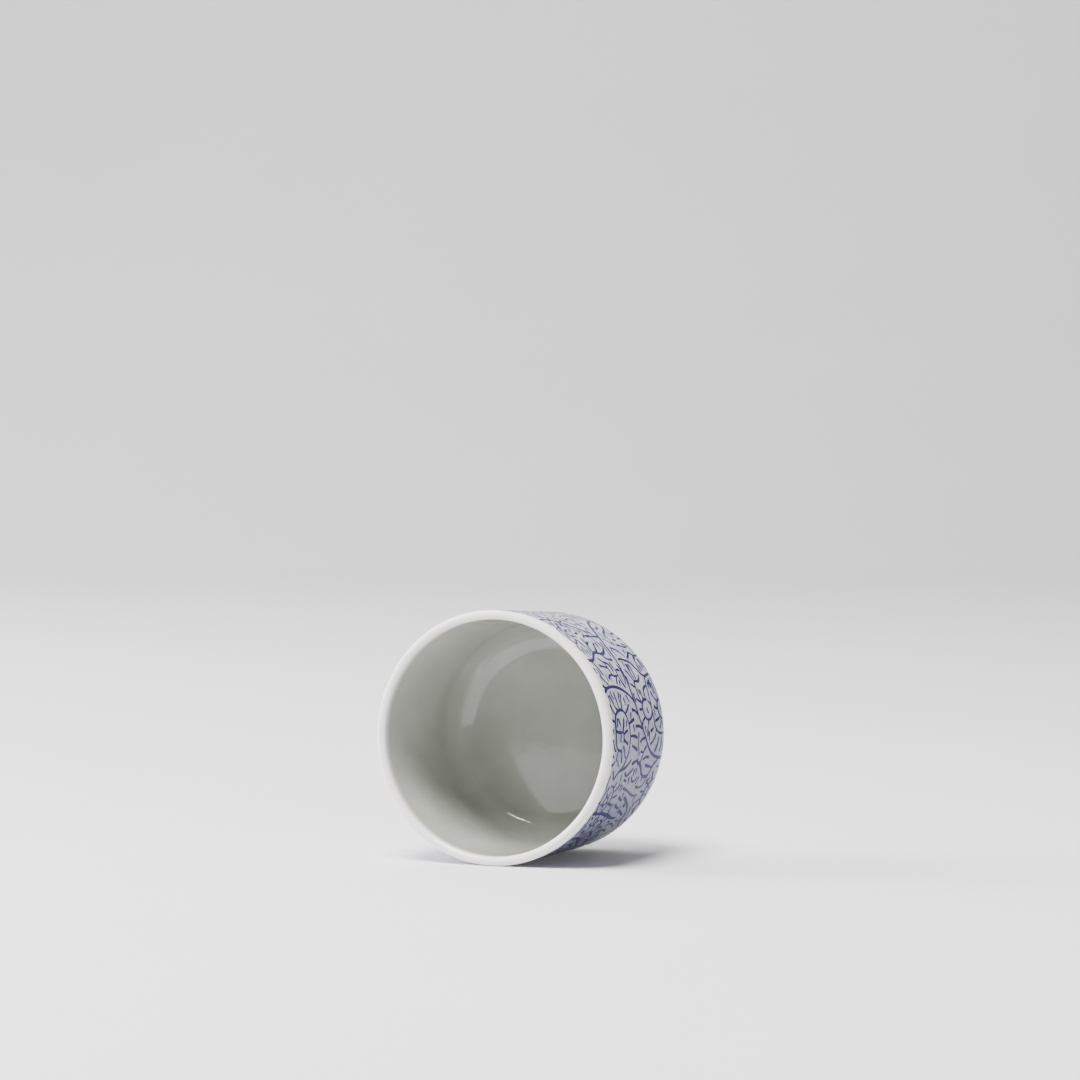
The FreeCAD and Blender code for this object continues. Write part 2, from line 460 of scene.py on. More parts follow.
def spun(name, outline, material):
    """Spins an outline of (radius, height) points once round Z into a closed piece.

    An outline that starts or ends on the axis is closed there; any other is joined to its start.
    """
    bm = bmesh.new()
    wire = [bm.verts.new((r, 0.0, z)) for r, z in outline]
    touches_axis = outline[0][0] == 0.0 or outline[-1][0] == 0.0
    ends = wire if touches_axis else wire + wire[:1]
    edges = [bm.edges.new(pair) for pair in zip(ends, ends[1:])]
    bmesh.ops.spin(bm, geom=wire + edges, cent=(0, 0, 0), axis=(0, 0, 1), angle=math.tau,
                   steps=TURN_STEPS, use_merge=True)
    bmesh.ops.remove_doubles(bm, verts=bm.verts, dist=0.001 * MM)
    push_by_wobble(bm)
    bmesh.ops.recalc_face_normals(bm, faces=bm.faces)
    return object_from(bm, name, material)


# %% [markdown]
# ## The three coats
# The coat inside ends at the crest of the lip, where the coat outside begins. The coat in the
# recess is its own, because the bare standing face keeps it apart from the others.

# %% Make the coats
inside_loop = inside_outline(0.0) + inside_outline(COAT, 0.5)[::-1]
outside_loop = outside_outline(0.0) + outside_outline(COAT, 0.5)[::-1]
recess_loop = recess_outline(COAT, 0.5) + recess_outline(0.0)[::-1]
axis_end = recess_loop.index((0.0, RECESS_TOP))
recess_loop = recess_loop[axis_end:] + recess_loop[:axis_end]

inside_coat = spun("glaze_inside", inside_loop, inside_glaze)
outside_coat = spun("glaze_outside", outside_loop, outside_glaze)
recess_coat = spun("glaze_under_base", recess_loop, base_glaze)

for piece, node in ((inside_coat, "inner_glaze"), (outside_coat, "outer_glaze"),
                    (recess_coat, "base_glaze")):
    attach(piece, "root")
    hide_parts(node)

for node in ("foot_ring", "porcelain_body"):
    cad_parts[node].data.materials.clear()
    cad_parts[node].data.materials.append(bare_clay)

# %% [markdown]
# ## Painting on a round wall
# The painter works on the raw body with the cup in one hand. The painting is a scrolling vine
# with round flower heads, fans and loose leaf strokes, and it covers the whole outside. It is
# planned flat: a place is an angle round the cup in degrees and a distance down the wall from
# the lip in millimetres. One function lays that plan on the wall and round the belly.

# %% From the flat plan to the wall
PLAN_TURN = math.radians(1.15)
PLAN_TOP = (LIP_CENTRE.x + LIP_ROUND * math.cos(WALL_TAPER),
            LIP_CENTRE.z - LIP_ROUND * math.sin(WALL_TAPER))
WALL_RUN = (PLAN_TOP[1] - BELLY_START) / math.cos(WALL_TAPER)
DEGREE = math.radians(1.0) * PLAN_TOP[0]


def on_wall(around, down, lift):
    """The point at an angle round the cup and a distance down the wall, lifted off the glaze."""
    over = down * MM - WALL_RUN
    lean = WALL_TAPER + max(over, 0.0) / BELLY_ROUND
    if over < 0.0:
        r = PLAN_TOP[0] - down * MM * math.sin(WALL_TAPER)
        z = PLAN_TOP[1] - down * MM * math.cos(WALL_TAPER)
    else:
        r = belly_centre()[0] + BELLY_ROUND * math.cos(lean)
        z = belly_centre()[1] - BELLY_ROUND * math.sin(lean)
    turn = PLAN_TURN - math.radians(around)
    outwards = Vector((math.cos(turn), math.sin(turn), 0.0))
    place = outwards * r + Vector((0.0, 0.0, z))
    push = outwards * (out_of_round(place) + lift * math.cos(lean))
    return place + push - Vector((0, 0, lift * math.sin(lean)))


print("painted wall", round(WALL_RUN / MM, 1), "mm straight, then the belly")

# %% [markdown]
# ## One brush stroke
# A pointed brush makes a stroke with round ends that swells and thins with the hand. Each one
# is a thin, closed ribbon that starts as a small grid, is laid along a smooth line through a
# few points, and is given its thickness by solidify. It stands a few hundredths of a millimetre
# proud of the glaze: enough to be real geometry, too little to break the gloss.

# %% Stroke tools
STROKE_LIFT = 0.04 * MM
STROKE_SINK = 0.05 * MM
STEP_LENGTH = 0.8
LOOK_ALONG = 0.01
WAVER = 0.12
EDGE_DROP = 0.4
POOL_REACH = 3.0
SHAKE_AROUND, SHAKE_DOWN = 0.2, 0.12
STROKE_SHARP = 50.0
hand = random.Random(7)


def smooth_line(points, share):
    """A point on the smooth line through the points (Catmull-Rom), share running from 0 to 1."""
    along = share * (len(points) - 1)
    i = min(int(along), len(points) - 2)
    t = along - i
    a, b, c, d = (points[min(max(j, 0), len(points) - 1)] for j in (i - 1, i, i + 1, i + 2))
    return tuple(0.5 * (2 * b[k] + (c[k] - a[k]) * t + (2 * a[k] - 5 * b[k] + 4 * c[k] - d[k]) * t * t
                        + (3 * b[k] - a[k] - 3 * c[k] + d[k]) * t ** 3) for k in (0, 1))


def plan_length(points):
    """Length in millimetres of the line through points of the plan."""
    legs = zip(points, points[1:])
    return sum(math.hypot((b[0] - a[0]) * DEGREE / MM, b[1] - a[1]) for a, b in legs)


def lay_stroke(bm, points, width, tail, turn):
    """Lays one stroke of the plan on the wall; it starts full and thins to tail of its width."""
    wash = bm.verts.layers.float[WASH]
    length = plan_length(points)
    rows = max(6, int(length / STEP_LENGTH) + 5)
    grid = bmesh.ops.create_grid(bm, x_segments=2, y_segments=rows, size=0.5)
    body, head = hand.uniform(0.25, 0.6), hand.uniform(0.2, 0.45)
    swell, lift = hand.uniform(0.9, 1.12), STROKE_LIFT * hand.uniform(0.7, 1.0)
    for vert in grid["verts"]:
        across, share = 2.0 * vert.co.x, 0.5 - 0.5 * math.cos(math.pi * (vert.co.y + 0.5))
        share = min(max(share, 0.0), 1.0)
        here = smooth_line(points, share)
        ahead = smooth_line(points, min(share + LOOK_ALONG, 1.0))
        behind = smooth_line(points, max(share - LOOK_ALONG, 0.0))
        going = Vector(((ahead[0] - behind[0]) * DEGREE / MM, ahead[1] - behind[1])).normalized()
        from_end = min(share, 1.0 - share) * length / (0.5 * width)
        rounding = math.sqrt(max(0.0, 1.0 - (1.0 - min(from_end, 1.0)) ** 2))
        waver = 1.0 + WAVER * math.sin(9.0 * share + 20.0 * body)
        half = 0.5 * width * swell * (1.0 + (tail - 1.0) * share) * rounding * waver
        around = here[0] + turn - going.y * across * half * MM / DEGREE
        down = here[1] + going.x * across * half
        vert.co = on_wall(around, down, lift * (1.0 - EDGE_DROP * abs(across)))
        pool = max(0.0, 1.0 - from_end / POOL_REACH)
        vert[wash] = body + head * pool * (1.0 if share < 0.5 else 0.5) - 0.15 * share


def painted_piece(name, strokes, turns):
    """One closed mesh of many strokes, repeated at each turn with a fresh hand."""
    bm = bmesh.new()
    bm.verts.layers.float.new(WASH)
    for turn in turns:
        for points, width, tail in strokes:
            shaky = [(around + hand.uniform(-SHAKE_AROUND, SHAKE_AROUND),
                      down + hand.uniform(-SHAKE_DOWN, SHAKE_DOWN)) for around, down in points]
            lay_stroke(bm, shaky if turn else points, width, tail, turn)
    bm.normal_update()
    inward = sum(face.normal.dot(face.calc_center_median()) < 0 for face in bm.faces)
    if inward > len(bm.faces) / 2:
        bmesh.ops.reverse_faces(bm, faces=bm.faces)
    bmesh.ops.solidify(bm, geom=bm.faces[:], thickness=STROKE_SINK)
    return object_from(bm, name, cobalt, STROKE_SHARP)


# %% [markdown]
# ## The plan: vines
# Long vines sweep over a third of the wall and are painted first, with the fullest brush. The
# plan is a third of a turn wide and is painted three times round, so a vine that leaves one
# repeat meets the next.

# %% Vines
vines = [
    [(66.8, 3.6), (66.2, 7), (66.1, 10.5), (67.0, 15), (69.2, 19.3), (72.0, 22.7), (75.5, 24.7)],
    [(65.0, 1.6), (66.0, 2.6), (66.9, 4.4)],
    [(68.8, 1.5), (67.6, 2.7), (66.8, 4.6)],
    [(22.8, 42.5), (24.6, 38.2), (27.5, 35.0), (31.5, 31.8), (36.0, 29.2), (42.0, 26.7), (49.0, 25.4),
     (58.0, 24.6), (68.0, 24.0), (75.0, 24.4), (81.0, 25.8), (86.5, 28.0), (91.0, 30.4), (95.5, 33.2),
     (98.8, 36.8), (100.8, 41.0), (101.6, 45.5), (101.4, 50.0), (99.5, 54.0)],
    [(52.0, 1.5), (52.4, 3.8), (51.6, 6.5), (49.5, 8.9), (47.9, 11.2), (47.9, 13.8), (48.8, 16.4),
     (48.2, 19.0), (46.6, 21.2), (44.8, 22.7)],
    [(48.0, 13.4), (46.0, 15.4), (43.6, 16.6), (41.7, 18.4)],
    [(52.3, 27.3), (52.0, 29.6), (52.8, 32.6), (54.0, 35.3), (57.0, 37.4), (60.0, 39.0), (61.8, 41.6),
     (61.0, 44.5), (60.4, 48.0), (61.0, 51.5), (59.5, 54.8)],
    [(37.0, 17.8), (36.7, 20.5), (37.2, 24.0), (37.4, 28.4)],
    [(102.2, 24.6), (103.0, 27.2), (105.2, 29.4), (108.2, 31.3), (110.0, 34.2), (110.1, 37.6)],
    [(110.1, 37.7), (107.3, 38.9), (104.6, 40.7), (102.3, 43.6)],
    [(108.8, 6.7), (106.4, 8.5), (104.8, 10.5), (104.2, 13.8), (102.3, 17.0), (100.3, 19.2)],
    [(125.4, 2.2), (126.2, 6.5), (126.6, 11.0), (128.0, 15.5), (129.4, 20.0), (131.5, 24.5),
     (132.3, 29.4)],
    [(142.8, 1.6), (141.6, 5.5), (142.4, 9.8), (145.0, 13.5), (148.2, 17.0), (150.8, 20.6),
     (155.8, 25.8)],
    [(119.4, 24.0), (123.0, 29.4), (127.0, 34.0), (131.4, 36.4), (136.4, 38.2), (142.8, 42.5)],
]
print(len(vines), "vines")

# %% [markdown]
# ## The plan: flower heads
# A flower head is an outline, spokes that meet in its middle, and a ring of free petals round
# it. Outlines and petals of the plainer heads come from two short helpers; the large head and
# the fan are drawn one by one, because their spokes lean and crowd. A degree round the wall is
# shorter than a millimetre down it, so a round spray takes more degrees than millimetres.

# %% Flower heads
DEGREES_PER_MM = 1.45


def ring(middle, reach, start, end, count=9):
    """Points along an oval arc of the plan; angles in degrees, 0 to the right, 90 down."""
    angles = [math.radians(start + (end - start) * i / (count - 1)) for i in range(count)]
    return [(middle[0] + reach[0] * math.cos(a), middle[1] + reach[1] * math.sin(a)) for a in angles]


def spray(middle, inner, outer, angles, bend=4.0):
    """Petal strokes round an oval, each from its outer, full end to its inner end."""
    strokes = []
    for angle in angles:
        spots = ((outer, 0.0), ((inner + outer) / 2, bend), (inner, 0.0))
        aims = [(scale, math.radians(angle + lean)) for scale, lean in spots]
        strokes.append([(middle[0] + s * DEGREES_PER_MM * math.cos(a), middle[1] + s * math.sin(a))
                        for s, a in aims])
    return strokes


large_head = [
    [(79.4, 5.2), (77.6, 7.6), (77.1, 10.3), (77.8, 12.6), (80.5, 14.8), (85.0, 16.2), (90.0, 16.5),
     (95.5, 15.8), (100.0, 14.2), (103.2, 12.2), (104.6, 10.4)],
    [(79.2, 5.5), (82.0, 4.2), (87.0, 4.0), (91.5, 4.1), (94.2, 5.2), (95.3, 7.0), (95.6, 9.3)],
    [(86.3, 4.2), (87.2, 6.6), (87.3, 9.9)],
    [(91.8, 8.2), (90.0, 8.0), (88.2, 8.5)],
    [(80.9, 7.5), (82.4, 7.7), (84.2, 8.4)],
    [(80.9, 12.0), (83.2, 11.3), (86.2, 10.4), (89.0, 10.9), (92.2, 10.7)],
    [(86.6, 14.5), (87.2, 12.6), (88.2, 11.2)],
    [(92.9, 14.6), (91.9, 12.7), (90.8, 11.2)],
    [(93.4, 10.4), (95.6, 11.6), (98.2, 12.4), (99.2, 13.7)],
    [(100.2, 5.4), (97.6, 5.5), (95.6, 6.2)],
    [(101.4, 10.2), (98.6, 9.9), (95.9, 9.3)],
    [(102.8, 8.0), (101.2, 7.3), (99.4, 6.6)],
]
large_petals = [
    [(74.0, 2.2), (76.4, 3.2), (78.9, 5.0)],
    [(69.8, 4.2), (73.0, 5.3), (75.8, 6.4), (77.0, 8.0)],
    [(68.4, 8.4), (72.0, 8.8), (76.6, 9.6)],
    [(69.6, 14.0), (72.6, 12.8), (76.8, 11.7)],
    [(74.8, 18.7), (76.8, 16.8), (79.0, 14.2)],
    [(81.9, 21.2), (82.6, 18.8), (83.7, 16.2)],
    [(90.6, 22.9), (89.6, 20.2), (89.5, 16.9)],
    [(96.4, 23.4), (95.0, 20.8), (93.8, 18.2)],
    [(81.2, 1.6), (81.8, 2.8), (82.4, 4.0)],
    [(85.0, 1.9), (88.0, 1.7)],
    [(89.8, 1.4), (92.6, 2.0), (94.8, 3.2), (95.4, 4.6)],
    [(97.2, 1.4), (98.2, 3.0)],
    [(101.4, 1.4), (101.5, 3.0), (99.9, 4.4)],
    [(102.6, 20.0), (101.8, 22.6), (100.9, 25.6)],
    [(105.9, 15.4), (108.0, 17.4), (106.6, 20.3), (104.6, 22.9)],
    [(77.4, 20.2), (78.1, 22.8), (80.0, 25.2)],
    [(85.2, 21.8), (85.4, 25.0), (86.8, 27.8)],
]
small_head = [
    ring((78.0, 34.2), (5.0, 4.1), -200, 150),
    [(80.2, 34.6), (76.8, 34.0)],
    [(63.9, 30.4), (67.0, 29.4), (71.0, 29.4), (75.2, 30.6)],
    [(63.9, 30.4), (64.2, 33.0), (63.7, 35.0), (60.8, 36.9)],
    [(68.2, 32.2), (70.2, 32.2), (72.8, 32.6)],
    [(72.2, 34.9), (68.6, 35.6), (67.3, 37.2), (66.6, 39.0)],
    [(65.2, 26.2), (66.3, 27.8), (67.3, 29.3)],
    [(72.6, 26.5), (73.6, 28.3), (74.8, 30.2)],
    [(77.8, 27.0), (77.8, 29.6)],
    [(85.2, 27.8), (83.2, 28.8), (81.8, 31.0)],
    [(57.8, 27.2), (60.4, 28.8), (63.6, 30.1)],
    [(54.8, 32.7), (58.0, 33.3), (63.4, 32.8)],
    [(90.8, 32.2), (86.6, 32.7), (83.2, 34.0)],
    [(88.4, 34.8), (87.8, 36.4), (86.8, 37.9)],
    [(94.6, 34.6), (93.2, 37.2), (90.2, 39.5), (87.2, 40.1)],
]
fan = [
    [(61.6, 41.9), (65.0, 40.0), (70.0, 38.9), (76.0, 38.4), (82.0, 38.6), (86.6, 39.6), (89.2, 42.0),
     (90.0, 45.2), (89.2, 49.2), (86.0, 52.6), (79.8, 54.6), (71.0, 54.4), (64.6, 52.2), (61.4, 49.0)],
    ring((78.2, 47.4), (4.8, 3.8), -190, 160),
    [(80.4, 47.0), (76.4, 46.8)],
    [(69.6, 41.0), (72.2, 42.2), (74.6, 44.0)],
    [(76.7, 40.6), (77.9, 42.2), (78.0, 43.6)],
    [(83.6, 40.2), (83.2, 42.4), (82.2, 44.4)],
    [(65.4, 44.6), (69.0, 45.0), (73.0, 45.8)],
    [(65.6, 48.8), (69.6, 48.6), (73.6, 48.2)],
    [(70.0, 52.2), (72.6, 51.0), (75.0, 49.9)],
    [(78.0, 53.2), (78.2, 51.6)],
    [(84.8, 51.4), (82.8, 49.9)],
    [(87.8, 47.4), (83.4, 46.6)],
    [(87.6, 43.6), (85.6, 44.8), (83.2, 45.4)],
]
fan_petals = [
    [(98.6, 39.4), (95.0, 41.4), (91.3, 42.5)],
    [(98.6, 44.0), (95.0, 44.9), (91.2, 45.3)],
    [(98.4, 48.2), (94.8, 48.3), (91.0, 48.0)],
    [(95.6, 52.2), (92.6, 51.4), (89.8, 50.6)],
    [(90.6, 54.8), (88.2, 53.6), (86.6, 52.6)],
    [(83.6, 41.4), (84.0, 39.6)],
]
upper_head = [
    ring((35.8, 3.9), (6.0, 2.6), -150, 200),
    [(38.4, 3.6), (34.8, 3.2)],
    *spray((35.8, 3.9), 2.9, 6.2, (150, 118, 78, 42)),
    [(48.4, 5.2), (45.8, 5.2), (43.4, 5.4)],
    [(44.2, 8.6), (41.4, 7.0)],
    [(47.2, 1.6), (44.6, 1.9), (42.4, 3.0)],
    [(25.4, 4.4), (28.6, 4.6)],
    [(25.8, 8.8), (28.6, 7.0), (30.8, 6.0)],
]
far_head = [
    ring((119.2, 7.3), (7.4, 4.2), -160, 190, 11),
    ring((119.6, 7.6), (2.4, 1.6), -190, 160, 7),
    [(115.0, 5.6), (117.4, 6.8)],
    [(114.6, 9.0), (117.2, 8.2)],
    [(121.6, 4.6), (120.6, 6.1)],
    [(124.6, 8.0), (122.0, 7.7)],
    [(121.2, 10.4), (120.4, 9.2)],
    [(106.6, 3.2), (109.6, 2.4), (113.4, 2.9)],
    [(104.4, 4.4), (106.6, 5.5), (109.0, 6.7)],
    [(119.9, 1.5), (119.3, 3.0)],
    [(110.2, 10.6), (112.4, 10.2), (114.0, 9.4)],
    [(111.4, 14.8), (113.8, 13.0), (115.4, 11.4)],
    [(117.2, 16.0), (118.0, 14.0), (118.3, 12.2)],
    [(122.8, 15.6), (122.0, 13.6), (121.2, 11.7)],
]
side_head = [
    ring((137.6, 14.6), (6.6, 4.6), -170, 180, 11),
    [(140.2, 14.8), (136.6, 14.6)],
    *spray((137.6, 14.6), 1.6, 3.9, (-140, -60, 0, 60, 130), 0.0),
    *spray((137.6, 14.6), 5.3, 8.4, (-150, -120, -92, -62, -28, 22, 58, 92, 126, 158)),
]
low_head = [
    ring((119.2, 45.6), (7.2, 4.6), -175, 175, 11),
    ring((119.2, 45.8), (2.6, 1.8), -190, 160, 7),
    *spray((119.2, 45.6), 2.4, 3.9, (-130, -75, -20, 35, 90, 145), 0.0),
    *spray((119.2, 45.6), 5.2, 8.3, (-158, -128, -98, -66, -34, 0, 30, 62, 95, 128, 160)),
]
heads = large_head + small_head + fan + upper_head + far_head + side_head + low_head
petals = large_petals + fan_petals
print(len(heads) + len(petals), "strokes in the flower heads")

# %% [markdown]
# ## The plan: leaves, hooks and fillers
# Short free strokes fill what the vines and heads leave open, so that no bare patch is much
# wider than a few strokes. Most begin full, away from the vine, and thin towards it.

# %% Leaves and hooks
leaves = [
    [(60.4, 6.7), (57.6, 5.8), (54.6, 4.4), (52.6, 3.2)],
    [(60.4, 3.2), (62.8, 4.9), (65.2, 7.2)],
    [(56.0, 1.7), (59.4, 1.8)],
    [(55.2, 7.6), (55.6, 10.2), (56.5, 13.4)],
    [(58.8, 16.5), (55.9, 16.6), (54.0, 15.2), (53.3, 12.8), (50.9, 10.2)],
    [(62.6, 9.9), (60.8, 11.3), (60.2, 13.6), (61.0, 15.8), (60.7, 18.4)],
    [(53.8, 13.8), (57.0, 13.7), (60.2, 14.6)],
    [(65.3, 14.7), (63.0, 15.6), (61.2, 17.2)],
    [(67.2, 20.9), (64.6, 19.6), (61.6, 18.8), (57.4, 19.4)],
    [(57.9, 22.4), (57.8, 19.8)],
    [(52.3, 22.4), (52.0, 19.6), (51.0, 17.4), (48.9, 16.2)],
    [(38.0, 11.9), (41.6, 11.8), (45.0, 11.0), (47.9, 10.3)],
    [(40.7, 14.9), (41.8, 13.1), (42.9, 11.6)],
    [(33.8, 14.8), (34.8, 13.2), (35.3, 11.6)],
    [(31.8, 18.9), (35.0, 18.4), (36.8, 16.8), (38.0, 15.0)],
    [(44.9, 22.7), (41.4, 22.0), (38.0, 21.4)],
    [(31.8, 22.0), (36.4, 22.2)],
    [(30.8, 25.6), (34.0, 25.2), (36.9, 26.0)],
    [(45.1, 28.6), (45.9, 30.7), (47.6, 33.0), (51.2, 34.9)],
    [(43.2, 35.0), (41.8, 33.0), (38.4, 29.8)],
    [(51.8, 36.0), (50.1, 38.4), (48.3, 40.6), (50.2, 43.2), (49.9, 46.4), (48.6, 49.6)],
    [(43.4, 36.0), (43.8, 38.4), (44.9, 41.0), (44.4, 43.8)],
    [(42.9, 41.4), (43.2, 43.3)],
    [(28.2, 43.8), (31.4, 41.4), (33.4, 38.8), (35.0, 36.4), (38.0, 35.0), (42.0, 34.9)],
    [(35.6, 41.6), (34.6, 44.4), (32.6, 47.2)],
    [(38.9, 42.8), (38.7, 45.2), (38.0, 47.6)],
    [(50.4, 43.0), (52.8, 41.1), (56.0, 40.4), (59.6, 40.3)],
    [(51.9, 43.9), (58.0, 43.8)],
    [(51.9, 47.0), (57.6, 47.2)],
    [(43.4, 46.0), (43.2, 47.6)],
    [(91.2, 29.9), (91.5, 27.6), (93.0, 25.2)],
    [(97.2, 26.4), (97.8, 28.8)],
    [(94.8, 31.6), (96.8, 29.8), (100.0, 28.6), (102.8, 27.4)],
    [(100.6, 35.2), (100.3, 32.0), (101.4, 29.4)],
    [(104.0, 32.8), (104.9, 35.2), (105.4, 37.8), (106.2, 39.8)],
    [(114.4, 29.8), (115.4, 32.6), (115.2, 35.8), (112.8, 37.2), (110.2, 37.8)],
    [(108.6, 22.9), (111.0, 24.2), (111.6, 26.6), (109.4, 28.8)],
    [(104.6, 25.6), (108.0, 26.2)],
    [(114.0, 18.6), (115.2, 21.8), (116.6, 25.0), (118.6, 29.0), (119.8, 32.4), (119.6, 36.0)],
    [(109.6, 16.4), (111.0, 19.4)],
    [(118.4, 18.6), (120.2, 21.0), (121.2, 23.6)],
    [(122.6, 19.2), (124.6, 21.6), (125.6, 24.6)],
    [(123.6, 27.6), (126.0, 30.2)],
    [(127.6, 27.0), (129.2, 30.4), (131.4, 34.2)],
    [(123.8, 36.4), (126.8, 38.8)],
    [(111.2, 40.9), (114.0, 39.0)],
    [(105.9, 44.2), (106.2, 47.2)],
    [(104.8, 50.4), (107.4, 52.4), (108.4, 54.8)],
    [(137.0, 26.0), (136.0, 29.4), (137.4, 32.6), (139.6, 35.8)],
    [(141.6, 24.6), (140.2, 27.4), (140.8, 30.4), (143.0, 33.4)],
    [(145.0, 29.6), (146.6, 32.4)],
    [(134.2, 31.6), (135.2, 34.2)],
    [(133.4, 24.4), (134.8, 26.8)],
    [(128.4, 41.6), (131.4, 43.4), (132.6, 46.4)],
    [(133.8, 40.6), (136.8, 42.8), (138.2, 46.0), (137.4, 49.4)],
    [(129.4, 47.6), (130.4, 50.6), (129.4, 53.6)],
    [(133.2, 49.4), (134.6, 52.4), (133.8, 54.8)],
    [(141.4, 46.4), (143.2, 49.0), (142.4, 52.4)],
    [(146.2, 45.2), (147.6, 48.0), (147.4, 51.4)],
    [(138.6, 53.6), (141.6, 54.6)],
    [(146.6, 22.4), (147.6, 24.8)],
    [(149.4, 11.6), (146.6, 12.4), (144.6, 12.8)],
    [(147.6, 5.6), (144.8, 6.6), (142.2, 7.4)],
    [(131.2, 2.0), (134.2, 2.6), (139.4, 4.0)],
    [(129.4, 6.2), (127.8, 4.2)],
    [(135.8, 6.6), (140.2, 8.2)],
    [(35.4, 50.2), (38.4, 51.4), (41.6, 50.6), (43.2, 48.8)],
    [(36.8, 54.6), (40.2, 53.8), (44.6, 54.6)],
    [(46.4, 51.6), (49.6, 52.4), (52.6, 51.4)],
    [(54.4, 49.8), (57.8, 50.4)],
    [(50.4, 55.0), (55.4, 54.4)],
    [(29.6, 50.4), (32.4, 52.6), (32.8, 55.2)],
    [(110.4, 33.0), (112.6, 33.6)],
    [(30.2, 33.8), (33.0, 34.2)],
    [(39.6, 37.6), (40.0, 40.2)],
    [(28.6, 38.8), (30.4, 37.2), (31.0, 35.4)],
    [(29.4, 29.2), (31.8, 28.0)],
    [(24.8, 47.6), (27.4, 48.2)],
]
print(len(leaves), "leaves and hooks")

# %% [markdown]
# ## The plan: fillers
# The painter then fills every bare patch with one more leaf stroke. The same rule is used here:
# try a place, and lay a bent stroke if no painted spot is near it, long leaves first and short
# ones in what is left. A coarse grid of painted cells answers that question quickly, and it
# runs on round the repeats. The middles of the flower heads stay open.

# %% Fillers
REPEAT = 120.0
CELL = 0.54
TRIES = 9000
LONG_LEAF, SHORT_LEAF = (2.4, 4.4), (1.2, 2.2)
LEAF_LEAN = 0.55
LEAF_BEND = 0.25
PLAN_START = 20.0
FILL_FROM, FILL_TO = 2.2, 55.0
PLAIN_LIP = 1.6
HEAD_MIDDLES = [((78.0, 34.2), (5.6, 4.7)), ((78.2, 47.4), (5.4, 4.4)), ((87.5, 9.5), (7.0, 4.6)),
                ((76.0, 8.0), (6.0, 6.0)), ((119.4, 7.5), (4.0, 2.8)), ((119.2, 45.7), (4.0, 2.8))]


def cells_near(place):
    """The grid cell of a place of the plan, and its eight neighbours."""
    column, row = round(place[0] % REPEAT * DEGREE / MM / CELL), round(place[1] / CELL)
    return [(column + i, row + j) for i in (0, -1, 1) for j in (0, -1, 1)]


def inside_a_head(place):
    """True in the middle of a flower head, which stays open."""
    return any(math.hypot((place[0] - middle[0]) / reach[0], (place[1] - middle[1]) / reach[1]) < 1.0
               for middle, reach in HEAD_MIDDLES)


def spots_of(points):
    """Places along a stroke, half a grid cell apart."""
    count = 2 + int(plan_length(points) / (0.5 * CELL))
    return [smooth_line(points, i / (count - 1)) for i in range(count)]


def fillers(painted):
    """Leaf strokes in the patches that the painted strokes leave bare."""
    taken = {cells_near(spot)[0] for points in painted for spot in spots_of(points)}
    strokes = []
    reaches = [hand.uniform(*leaf) for leaf in (LONG_LEAF, SHORT_LEAF) for _ in range(TRIES)]
    for reach in reaches:
        middle = (hand.uniform(PLAN_START, PLAN_START + REPEAT), hand.uniform(FILL_FROM, FILL_TO))
        if inside_a_head(middle):
            continue
        lean = hand.uniform(-LEAF_LEAN, LEAF_LEAN)
        step = (reach * math.cos(lean) * MM / DEGREE, reach * math.sin(lean))
        bend = hand.uniform(-LEAF_BEND, LEAF_BEND) * reach
        points = [(middle[0] - step[0], middle[1] - step[1]), (middle[0], middle[1] + bend),
                  (middle[0] + step[0], middle[1] + step[1])]
        spots = spots_of(points)
        if min(points[0][1], points[2][1]) < PLAIN_LIP:
            continue
        if any(cell in taken for spot in spots for cell in cells_near(spot)):
            continue
        strokes.append(points)
        taken.update(cells_near(spot)[0] for spot in spots)
    return strokes


filling = fillers(vines + heads + petals + leaves)
print(len(filling), "fillers")

# %% [markdown]
# ## Painting the cup
# Each group becomes one closed piece that stands for the painted band of the frame. The repeats
# differ a little, because no hand paints the same stroke twice. Vines take the fullest brush, in
# millimetres, and the last number is the share of its width that a stroke keeps at its end.

# %% Paint
REPEATS = (0.0, REPEAT, 2 * REPEAT)
VINE, LINE = 1.2, 1.05
LEAF = LINE * 1.08
groups = {
    "painting_vines": [(points, VINE, 0.9) for points in vines],
    "painting_flower_heads": [(points, LINE, 0.85) for points in heads],
    "painting_petals_and_leaves": [(points, LEAF, 0.75) for points in petals + leaves],
    "painting_fillers": [(points, LINE, 0.7) for points in filling],
}
for name, strokes in groups.items():
    painting = painted_piece(name, strokes, REPEATS)
    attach(painting, "root")
    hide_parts("painted_band")

# %% [markdown]
# ## The stage
# A sheet of pale paper lies under the cup and rises behind it in one soft curve, so no
# horizon shows. It is one face thick and is clear from behind, so it never hides the cup. It
# glows very faintly, so that the shadow where the cup touches it isn't black.

# %% Table and backdrop
PAPER_HALF_WIDTH = 2.5
PAPER_NEAR = 0.75
PAPER_FAR = -1.5
PAPER_CURVE = 0.7
PAPER_STEPS = 24
PAPER_HEIGHT = 1.6
PAPER_GAP = 0.03 * MM
PAPER_GLOW = 0.07


